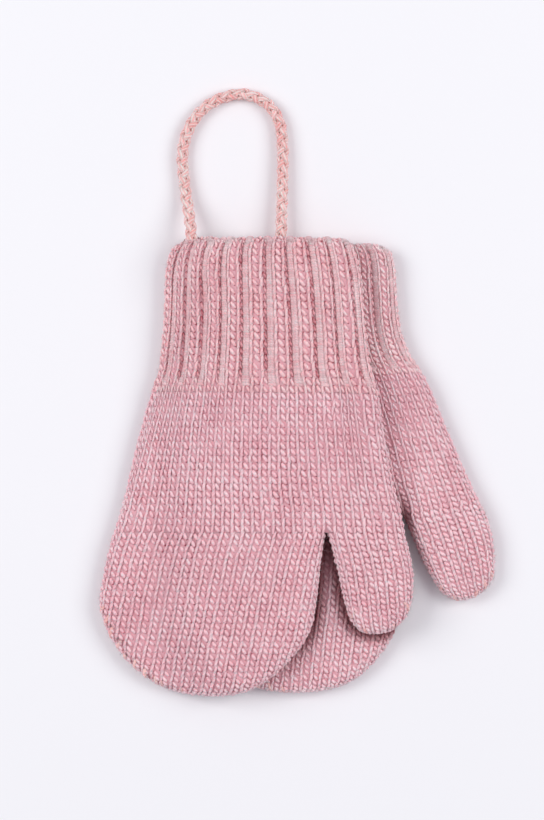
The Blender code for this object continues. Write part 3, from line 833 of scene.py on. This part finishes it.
def paint_gap_shade(piece, over, holes):
    """Paints shade on wool that lies deep in a gap, as a share of a deep colour in its shade attribute.

    That is under and beside the mitten over it, and in small holes at the given places.
    """
    mesh = piece.data
    places = np.empty(len(mesh.vertices) * 3)
    mesh.vertices.foreach_get("co", places)
    plan = places.reshape(-1, 3)[:, :2] / MM
    shade = np.zeros(len(plan))
    if over is not None:
        inside, _ = read_field(over["fields"]["whole"], plan)
        shade = PAINTED_GAP_SHADE * smooth_step(1.0 + inside / GAP_REACH)
        shade *= smooth_step((GAP_TOP - plan[:, 1]) / GAP_FADE)
        shade *= smooth_step((plan[:, 1] - GAP_END) / GAP_END_FADE)
    for hole in holes:
        apart = np.hypot(plan[:, 0] - hole[0], plan[:, 1] - hole[1])
        shade = np.maximum(shade, PAINTED_HOLE_SHADE * np.exp(-(apart / HOLE_RADIUS) ** 2))
    layer = mesh.attributes.new("shade", "FLOAT", "POINT")
    layer.data.foreach_set("value", shade.astype(np.float32))


def lay_on_table(lines, radii):
    """Yarns under the pair are pressed flat on the table."""
    lines[..., 2] = np.maximum(lines[..., 2], radii)
    return lines


def cloth_shell(name, points, closed_tip):
    """A thin closed shell from rings of points on its outer side."""
    rings, around = points.shape[:2]
    verts = (points.reshape(-1, 3) * MM).tolist()
    index = np.arange(rings * around).reshape(rings, around)
    following = np.roll(index, -1, axis=1)
    faces = np.stack([index[:-1], index[1:], following[1:], following[:-1]], axis=-1).reshape(-1, 4).tolist()
    if closed_tip is not None:
        verts.append((closed_tip * MM).tolist())
        faces += [[int(a), len(verts) - 1, int(b)] for a, b in zip(index[-1], following[-1])]
    mesh = bpy.data.meshes.new(name)
    mesh.from_pydata(verts, [], faces)
    mesh.shade_smooth()
    obj = bpy.data.objects.new(name, mesh)
    bpy.context.scene.collection.objects.link(obj)
    bpy.context.view_layer.objects.active = obj
    obj.select_set(True)
    wall = obj.modifiers.new("wall", "SOLIDIFY")
    wall.thickness = SHELL_WALL * MM
    wall.offset = -1.0
    wall.use_even_offset = False
    bpy.ops.object.modifier_apply(modifier="wall")
    obj.select_set(False)
    return obj


def declare_cloth(shell, yarns, node, holes=()):
    """The shell is the sheet of cloth, and its yarns lie on it. Both get painted shade and are attached to
    the root, and the part they stand for is hidden.
    """
    for piece in (shell, yarns):
        # painted shade under and beside the upper mitten and at the given holes
        paint_gap_shade(piece, upper if node.startswith("lower") else None, holes)
        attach(piece, "root")
    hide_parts(node)


def body_cloth(mitten, part, ring_rows, yarns):
    """The cloth under the yarns of a cuff or palm, in rings at the given rows, declared with them."""
    rows, wales = np.meshgrid(ring_rows, np.arange(2 * WALES) / 2 + 0.25, indexing="ij")
    depth = np.full(rows.shape, -SHELL_DEPTH)
    points, _ = body_points(mitten, wales, rows, depth, body_face(mitten, wales, rows))
    shell = cloth_shell(f"{mitten['name']}_{part}_cloth", points, None)
    shell.data.materials.append(ground)
    declare_cloth(shell, yarns, f"{mitten['name']}_{part}")


SPUN = {"ply_length": 2.4, "plies": 2, "ply_shade": 0.05, "relief": 0.00007}
wool = yarn_material("soft_spun_wool", "f8ced4", "ffe4e8", "eab4bd", "b86f7c", "6a0014", **SPUN)
cuff_wool = yarn_material("soft_ribbed_wool", "f8cccf", "ffe2e4", "eab0b5", "b2626c", "6a0014", **SPUN)
# The cloth shell stands for the knitting beneath; its darker colour is painted shade seen between the
# stitches
ground = yarn_material("wool_between_stitches", "e9b7bf", "f2c6cd", "daa5ae", "b86f7c", "52000e",
                       ply_length=2.4, plies=2, ply_shade=0.0, relief=0.00007)

for mitten in (lower, upper):
    draw = np.random.default_rng(11 if mitten is lower else 12)
    wale, row = stitch_grid(-RIM_ROWS, CUFF_ROWS, WALES)
    face = body_face(mitten, wale + 0.5, row + 0.5)
    purl = (wale % RIB_WALES == RIB_WALES - 1) & (row < CUFF_ROWS - 1)
    place = lambda *at, mitten=mitten: body_points(mitten, *at)
    parts = [knit_stitches(place, wale[~purl], row[~purl], face[~purl], draw)]
    pitch = np.full(purl.sum(), OPEN_PITCH)
    for share in PURL_SHARES:
        wales, rows, heights, radii = stitch_legs(
            PURL_LOOP, PURL_RADII, wale[purl], row[purl] + share, pitch, draw, PURL_CALM)
        parts.append(place(wales, rows, heights, face[purl][:, None]) + (radii,))
    lines, ups, radii = (np.concatenate(kind) for kind in zip(*parts))
    lines = lay_on_table(lines, radii)
    # the slanted legs where a rib falls away to the purl get painted shade
    in_groove = (wale[~purl] % RIB_WALES == 1) & (row[~purl] >= 1) & (row[~purl] < CUFF_ROWS - 2)
    # painted light on the cuff's knit legs, and painted shade in its grooves
    knit_painted_light = CUFF_PAINTED_LIGHT[mitten["name"]]
    tones = [np.full(in_groove.size, knit_painted_light), knit_painted_light + GROOVE_PAINTED_SHADE * in_groove]
    tones.append(np.full(len(lines) - 2 * in_groove.size, PURL_TONE))
    tones = np.concatenate(tones) + PLAIN_TONE * draw.random(len(lines))
    yarns = yarn_mesh(f"{mitten['name']}_cuff_stitches", lines, ups, radii, leg_tones(tones, in_groove.size))
    yarns.data.materials.append(cuff_wool)
    body_cloth(mitten, "cuff", np.concatenate([RIM_RINGS, np.arange(2 * CUFF_ROWS + 1) / 2]), yarns)


# The palms are plain knitting from the cuff to the crotch of the thumb. The tube widens as it goes, and its
# wales spread with it.
for mitten in (lower, upper):
    draw = np.random.default_rng(21 if mitten is lower else 22)
    wale, row = stitch_grid(CUFF_ROWS, BODY_ROWS, WALES)
    place = lambda *at, mitten=mitten: body_points(mitten, *at)
    lines, ups, radii = knit_stitches(place, wale, row, body_face(mitten, wale + 0.5, row + 0.5), draw)
    lines = lay_on_table(lines, radii)
    tones = leg_tones(PLAIN_TONE * draw.random(len(lines)), wale.size)
    yarns = yarn_mesh(f"{mitten['name']}_palm_stitches", lines, ups, radii, tones)
    yarns.data.materials.append(wool)
    body_cloth(mitten, "palm", np.arange(2 * CUFF_ROWS, 2 * BODY_ROWS + 1) / 2, yarns)


# The finger pouches and thumbs are plain knitting too. Their wales run on past the widest row, where the
# outline cuts them off one after the other, and both faces are linked together round the tip.
POUCHES = {
    # part: wales across one face, rows, table interval where the narrowing starts
    "fingers": (22, 26, 3.0),
    "thumb": (9, 17, 3.0),
}
PITCH_CHANGE = 0.15      # rows get this share closer from the crotch to the tip
POUCH_TURN = {"fingers": 1.3, "thumb": 0.0}  # wales by which the tube is turned from the crotch to the tip
OUTLINE_ROWS = 3         # rows past a pouch's count that may still lie inside its outline
LEAST_REACH = -0.5       # stitches that start further than this past a fold's middle are left out
HEADING_STEP = 0.6       # table intervals over which the heading of the straight wales is read
TIP_MARGIN = 1.5         # nearer to the tip than this many, all rows have the same slant
RING_ANGLES = np.radians([22.5, 45.0, 67.5])  # of a ring's points round a folded side
RING_FLAT = 18           # and its points between the two
# Small holes that the slack linking of the upper mitten's fingers leaves just inside their edge, made only as
# painted shade on the wool there: x, y
PAINTED_SEAM_HOLES = (
    (-61.1, -51.9), (-59.1, -56.5), (-57.5, -57.1), (-56.2, -61.4),
    (-53.9, -63.7), (-52.2, -67.6), (-48.6, -68.9),
)


def pouch_chart(mitten, part, across, rows):
    """Chart places of a pouch: wales spread evenly down to its widest row and run straight on from there."""
    half, row_count, narrowing = POUCHES[part]
    last = len(mitten["rows"][part]) - 1
    share = rows / row_count
    share = share * (1.0 + PITCH_CHANGE / 2) - PITCH_CHANGE / 2 * share * share
    place = interval_of(mitten, part, 0, last, share)

    def spread(at):
        left, right = row_lines(mitten, part, at)
        width = np.linalg.norm(right - left, axis=-1)
        arc = across / half * (width + 2.0 * edge_extra) - edge_extra
        return left + (right - left) * (arc / width)[..., None]

    upper_part = spread(np.minimum(place, narrowing))
    start = spread(np.full(place.shape, narrowing))
    heading = unit(start - spread(np.full(place.shape, narrowing - HEADING_STEP)))
    left, right = row_lines(mitten, part, np.minimum(place, last - TIP_MARGIN))
    square = unit(right - left)[..., ::-1] * [-1.0, 1.0]
    left, right = row_lines(mitten, part, place)
    middle = (left + right) / 2
    far = ((middle - start) * square).sum(-1) / (heading * square).sum(-1)
    return np.where((place > narrowing)[..., None], start + heading * far[..., None], upper_part)


def pouch_turned(part, wales, rows):
    """Wales from the left fold round the tube, with the turn that the tube has at that row."""
    return wales - BODY_TURN - POUCH_TURN[part] * rows / POUCHES[part][1]


def pouch_face(part, wales, rows):
    """The face that places of a pouch are on: 1 on top and -1 below."""
    half = POUCHES[part][0]
    return np.where(np.mod(pouch_turned(part, wales, rows), 2 * half) < half, 1.0, -1.0)


def pouch_across(part, wales, rows, face):
    """Wales from the left fold, seen on a face."""
    half = POUCHES[part][0]
    turned = pouch_turned(part, wales, rows)
    return fold_in(np.where(face > 0, turned, 2 * half - turned), half)


def pouch_reach(mitten, part, wales, rows, face):
    """How far in from the middle of a fold places of a pouch are."""
    chart = pouch_chart(mitten, part, pouch_across(part, wales, rows, face), rows)
    return read_field(mitten["fields"][part], chart)[0] + edge_extra


def pouch_points(mitten, part, wales, rows, heights, face):
    """Points of a pouch's yarns, and the way out from the cloth there."""
    shape = wales.shape
    wales, rows, heights, face = (np.broadcast_to(a, shape).ravel() for a in (wales, rows, heights, face))
    chart = pouch_chart(mitten, part, pouch_across(part, wales, rows, face), rows)
    points, out = cloth_place(mitten, part, chart, face, heights)
    return points.reshape(shape + (3,)), out.reshape(shape + (3,))


def pouch_rings(mitten, part):
    """Rings of points round a pouch, a shell's depth below its outer side, and the point at its tip."""
    field = mitten["fields"][part]
    rings = []
    for start, end in zip(*(side[::ROW_STEPS // 2] for side in mitten["sides"][part])):
        width = np.linalg.norm(end - start)
        edge = min(EDGE_ROUND, width / 3) / width
        side = edge * (1.0 - np.cos(RING_ANGLES))
        shares = np.concatenate([side, np.linspace(edge, 1.0 - edge, RING_FLAT), 1.0 - side[::-1]])
        face = np.concatenate([np.ones(len(shares) + 2), -np.ones(len(shares))])
        shares = np.concatenate([[0.0], shares, [1.0], shares[::-1]])
        plan = start + shares[:, None] * (end - start)
        distance, slope = read_field(field, plan)
        turn = np.arccos(1.0 - np.clip(distance / EDGE_ROUND, 0.0, 1.0))
        reach = turn * edge_arc - edge_extra + np.maximum(distance - EDGE_ROUND, 0.0)
        chart = plan + slope * (reach - distance)[:, None]
        points, _ = cloth_place(mitten, part, chart, face, np.full(len(plan), -SHELL_DEPTH))
        rings.append(points)
    tip = np.array([mitten["rows"][f"{part}_tip"]])
    _, slope = read_field(field, tip)
    tip_point, _ = cloth_place(mitten, part, tip - slope * edge_extra, np.ones(1), np.full(1, -SHELL_DEPTH))
    return np.array(rings), tip_point[0]


for mitten in (lower, upper):
    for part, (half, row_count, _) in POUCHES.items():
        draw = np.random.default_rng(31 + half + (mitten is upper))
        wale, row = stitch_grid(0, row_count + OUTLINE_ROWS, 2 * half)
        face = pouch_face(part, wale + 0.5, row + 0.5)
        kept = pouch_reach(mitten, part, wale + 0.5, row + 0.5, face) > LEAST_REACH
        wale, row, face = wale[kept], row[kept], face[kept]
        place = lambda *at, mitten=mitten, part=part: pouch_points(mitten, part, *at)
        lines, ups, radii = knit_stitches(place, wale, row, face, draw)
        lines = lay_on_table(lines, radii)
        # painted light on the lower mitten's pouches
        tones = leg_tones(PLAIN_TONE * draw.random(len(lines)) + POUCH_PAINTED_LIGHT[mitten["name"]], wale.size)
        yarns = yarn_mesh(f"{mitten['name']}_{part}_stitches", lines, ups, radii, tones)
        yarns.data.materials.append(wool)
        rings, tip_point = pouch_rings(mitten, part)
        shell = cloth_shell(f"{mitten['name']}_{part}_cloth", rings, tip_point)
        shell.data.materials.append(ground)
        holes = PAINTED_SEAM_HOLES if mitten is upper and part == "fingers" else ()
        declare_cloth(shell, yarns, f"{mitten['name']}_{part}", holes)


# The tips are linked together along their edge. The linking yarn goes over the edge in slack loops, thickest
# at the lower left of the upper mitten's fingers.
LINKING = (
    # mitten, part, side, first and last place on its outline in table intervals, pitch, yarn radius, rise
    (upper, "fingers", 0, 3.4, 7.8, 3.9, 0.72, -0.1),
    (upper, "fingers", 0, 8.0, 9.0, 3.4, 0.6, -0.25),
    (upper, "thumb", 0, 4.2, 6.0, 3.1, 0.56, -0.2),
    (upper, "thumb", 1, 4.0, 6.0, 3.1, 0.56, -0.2),
    (lower, "thumb", 0, 4.2, 6.0, 3.1, 0.56, -0.2),
    (lower, "thumb", 1, 4.0, 6.0, 3.1, 0.56, -0.2),
    (lower, "fingers", 0, 4.6, 9.0, 3.6, 0.6, -0.2),
)
# One loop of it: place along the edge, reach from the fold's middle onto the upper face, height
LINK_LOOP = (
    (-1.9, 4.6, -1.6),
    (-1.4, 3.5, -0.6),
    (-0.7, 2.2, -0.4),
    (0.1, 0.6, -0.5),
    (0.8, -1.0, -0.6),
    (1.4, -2.4, -0.9),
    (1.8, -3.4, -1.7),
)
LINK_RADII = np.array([0.6, 0.9, 1.0, 1.0, 1.0, 0.9, 0.6])  # as shares of the yarn's radius
LINK_SPREAD = 0.12       # how much the loops differ from each other
LINK_SIDES = 7

linking_yarn = yarn_material("soft_linking_yarn", "f6bdba", "fdd3cf", "eaa5a1", "d98980", "6a0014", **SPUN)
along, reach, height = np.array(LINK_LOOP).T
draw = np.random.default_rng(51)
for mitten in (lower, upper):
    lines, ups, radii = [], [], []
    for owner, part, side, first, last, pitch, yarn_radius, rise in LINKING:
        if owner is not mitten:
            continue
        edge = mitten["sides"][part][side][int(first * ROW_STEPS):int(last * ROW_STEPS) + 1]
        edge = even_points(edge, max(2, int(length_along(edge)[-1] / pitch)))
        for spot in edge:
            _, inward = read_field(mitten["fields"][part], spot[None])
            tangent = np.array([inward[0, 1], -inward[0, 0]]) * (1 if side == 0 else -1)
            jitter = 1.0 + LINK_SPREAD * draw.standard_normal(3)
            chart = spot + tangent * (along * jitter[0])[:, None]
            chart = chart + inward * (reach * jitter[1] - edge_extra)[:, None]
            points, out = cloth_place(mitten, part, chart, np.ones(len(chart)), height + rise * jitter[2])
            lines.append(points)
            ups.append(out)
            radii.append(LINK_RADII * yarn_radius * (0.9 + 0.2 * draw.random()))
    lines, ups, radii = np.array(lines), np.array(ups), np.array(radii)
    lines = lay_on_table(lines, radii)
    tones = 0.15 + 0.25 * draw.random(len(lines))
    loops = yarn_mesh(f"{mitten['name']}_linking_loops", lines, ups, radii, tones, LINK_SIDES)
    loops.data.materials.append(linking_yarn)
    # painted shade on the lower mitten's loops under and beside the upper one
    paint_gap_shade(loops, upper if mitten is lower else None, ())
    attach(loops, "root")


# The nap is the ends of loose fibres that stand off the yarn all over. They show most along the edges.
NAP = (
    # part, wales round it, first row, last row, fibres
    ("body", WALES, -1.5, BODY_ROWS, 4400),
    ("fingers", 2 * POUCHES["fingers"][0], 0.0, POUCHES["fingers"][1], 2700),
    ("thumb", 2 * POUCHES["thumb"][0], 0.0, POUCHES["thumb"][1], 1150),
)
NAP_ON_TOP = 0.18        # share of the fibres that are kept where the cloth is level
LEVEL = 0.75             # it counts as level where the way out of it goes up by more than this share
LEAST_HEIGHT = 0.8       # fibres that start nearer to the table are left out
FIBRE_ROOT = -0.25       # their height over the cloth where they start
FIBRE_LENGTH = (0.7, 2.0)
FIBRE_RADII = (0.030, 0.024, 0.010)
FIBRE_LEAN = 1.3         # sideways, against 1 straight out
FIBRE_CURL = 0.9
FIBRE_SIDES = 3
for mitten in (lower, upper):
    draw = np.random.default_rng(61 if mitten is lower else 62)
    lines, ups = [], []
    for part, wales_round, first, last, count in NAP:
        wale, row = draw.uniform(0, wales_round, count), draw.uniform(first, last, count)
        root = np.full(count, FIBRE_ROOT)
        if part == "body":
            points, out = body_points(mitten, wale, row, root, body_face(mitten, wale, row))
            kept = np.ones(count, bool)
        else:
            face = pouch_face(part, wale, row)
            points, out = pouch_points(mitten, part, wale, row, root, face)
            kept = pouch_reach(mitten, part, wale, row, face) > 0.0
        kept &= (np.abs(out[:, 2]) < LEVEL) | (draw.random(count) < NAP_ON_TOP)
        kept &= points[:, 2] > LEAST_HEIGHT
        points, out = points[kept], out[kept]
        lean = draw.standard_normal(points.shape) * FIBRE_LEAN
        heading = unit(out + lean - out * np.minimum((lean * out).sum(-1, keepdims=True), 0.0))
        bend = unit(heading + FIBRE_CURL * draw.standard_normal(points.shape))
        length = draw.uniform(*FIBRE_LENGTH, (len(points), 1))
        middle = points + heading * length * 0.5
        lines.append(np.stack([points, middle, middle + bend * length * 0.5], axis=1))
        ups.append(np.repeat(np.roll(heading, 1, axis=-1)[:, None] + 0.01, 3, axis=1))
    lines, ups = np.concatenate(lines), np.concatenate(ups)
    lines[..., 2] = np.maximum(lines[..., 2], 0.1)
    radii = np.broadcast_to(FIBRE_RADII, lines.shape[:2])
    # The fibres are real; their lighter tone is a painted sheen of the loose nap
    tones = 0.35 + 0.3 * draw.random(len(lines))
    nap = yarn_mesh(f"{mitten['name']}_nap", lines, ups, radii, tones, FIBRE_SIDES)
    nap.data.materials.append(wool)
    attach(nap, "root")


# The table is plain and nearly white. Two broad soft lights stand to the left and right, a little towards the
# cuffs, and the room gives the rest.
TABLE_SIZE = 6.0         # m
ROOM_LIGHT = 0.47
LAMP_COLOUR = (1.0, 0.985, 0.975)
LAMPS = (
    # name, place in m, turn in degrees, size in m, power
    ("left_window", (-0.95, 0.24, 0.95), (-10.0, -45.0, 0.0), 0.8, 9.3),
    ("right_window", (1.0, 0.22, 0.95), (-9.0, 46.5, 0.0), 0.8, 9.7),
)
bpy.context.scene.view_settings.view_transform = "Standard"
bpy.ops.mesh.primitive_plane_add(size=TABLE_SIZE, location=(0.0, 0.0, 0.0))
table = bpy.context.object
table.name = "table"
table_material = bpy.data.materials.new("matt_white_paper")
table_material.use_nodes = True
table_shader = table_material.node_tree.nodes["Principled BSDF"]
table_shader.inputs["Base Color"].default_value = linear("eff0f3")
table_shader.inputs["Roughness"].default_value = 0.8
table.data.materials.append(table_material)
world = bpy.data.worlds.new("soft_room")
world.use_nodes = True
world.node_tree.nodes["Background"].inputs["Color"].default_value = linear("f8f6ff")
world.node_tree.nodes["Background"].inputs["Strength"].default_value = ROOM_LIGHT
bpy.context.scene.world = world
for name, place, turn, size, power in LAMPS:
    bpy.ops.object.light_add(type="AREA", location=place, rotation=[math.radians(angle) for angle in turn])
    lamp = bpy.context.object
    lamp.name = name
    lamp.data.shape = "SQUARE"
    lamp.data.size = size
    lamp.data.energy = power
    lamp.data.color = LAMP_COLOUR
bpy.ops.object.select_all(action="DESELECT")
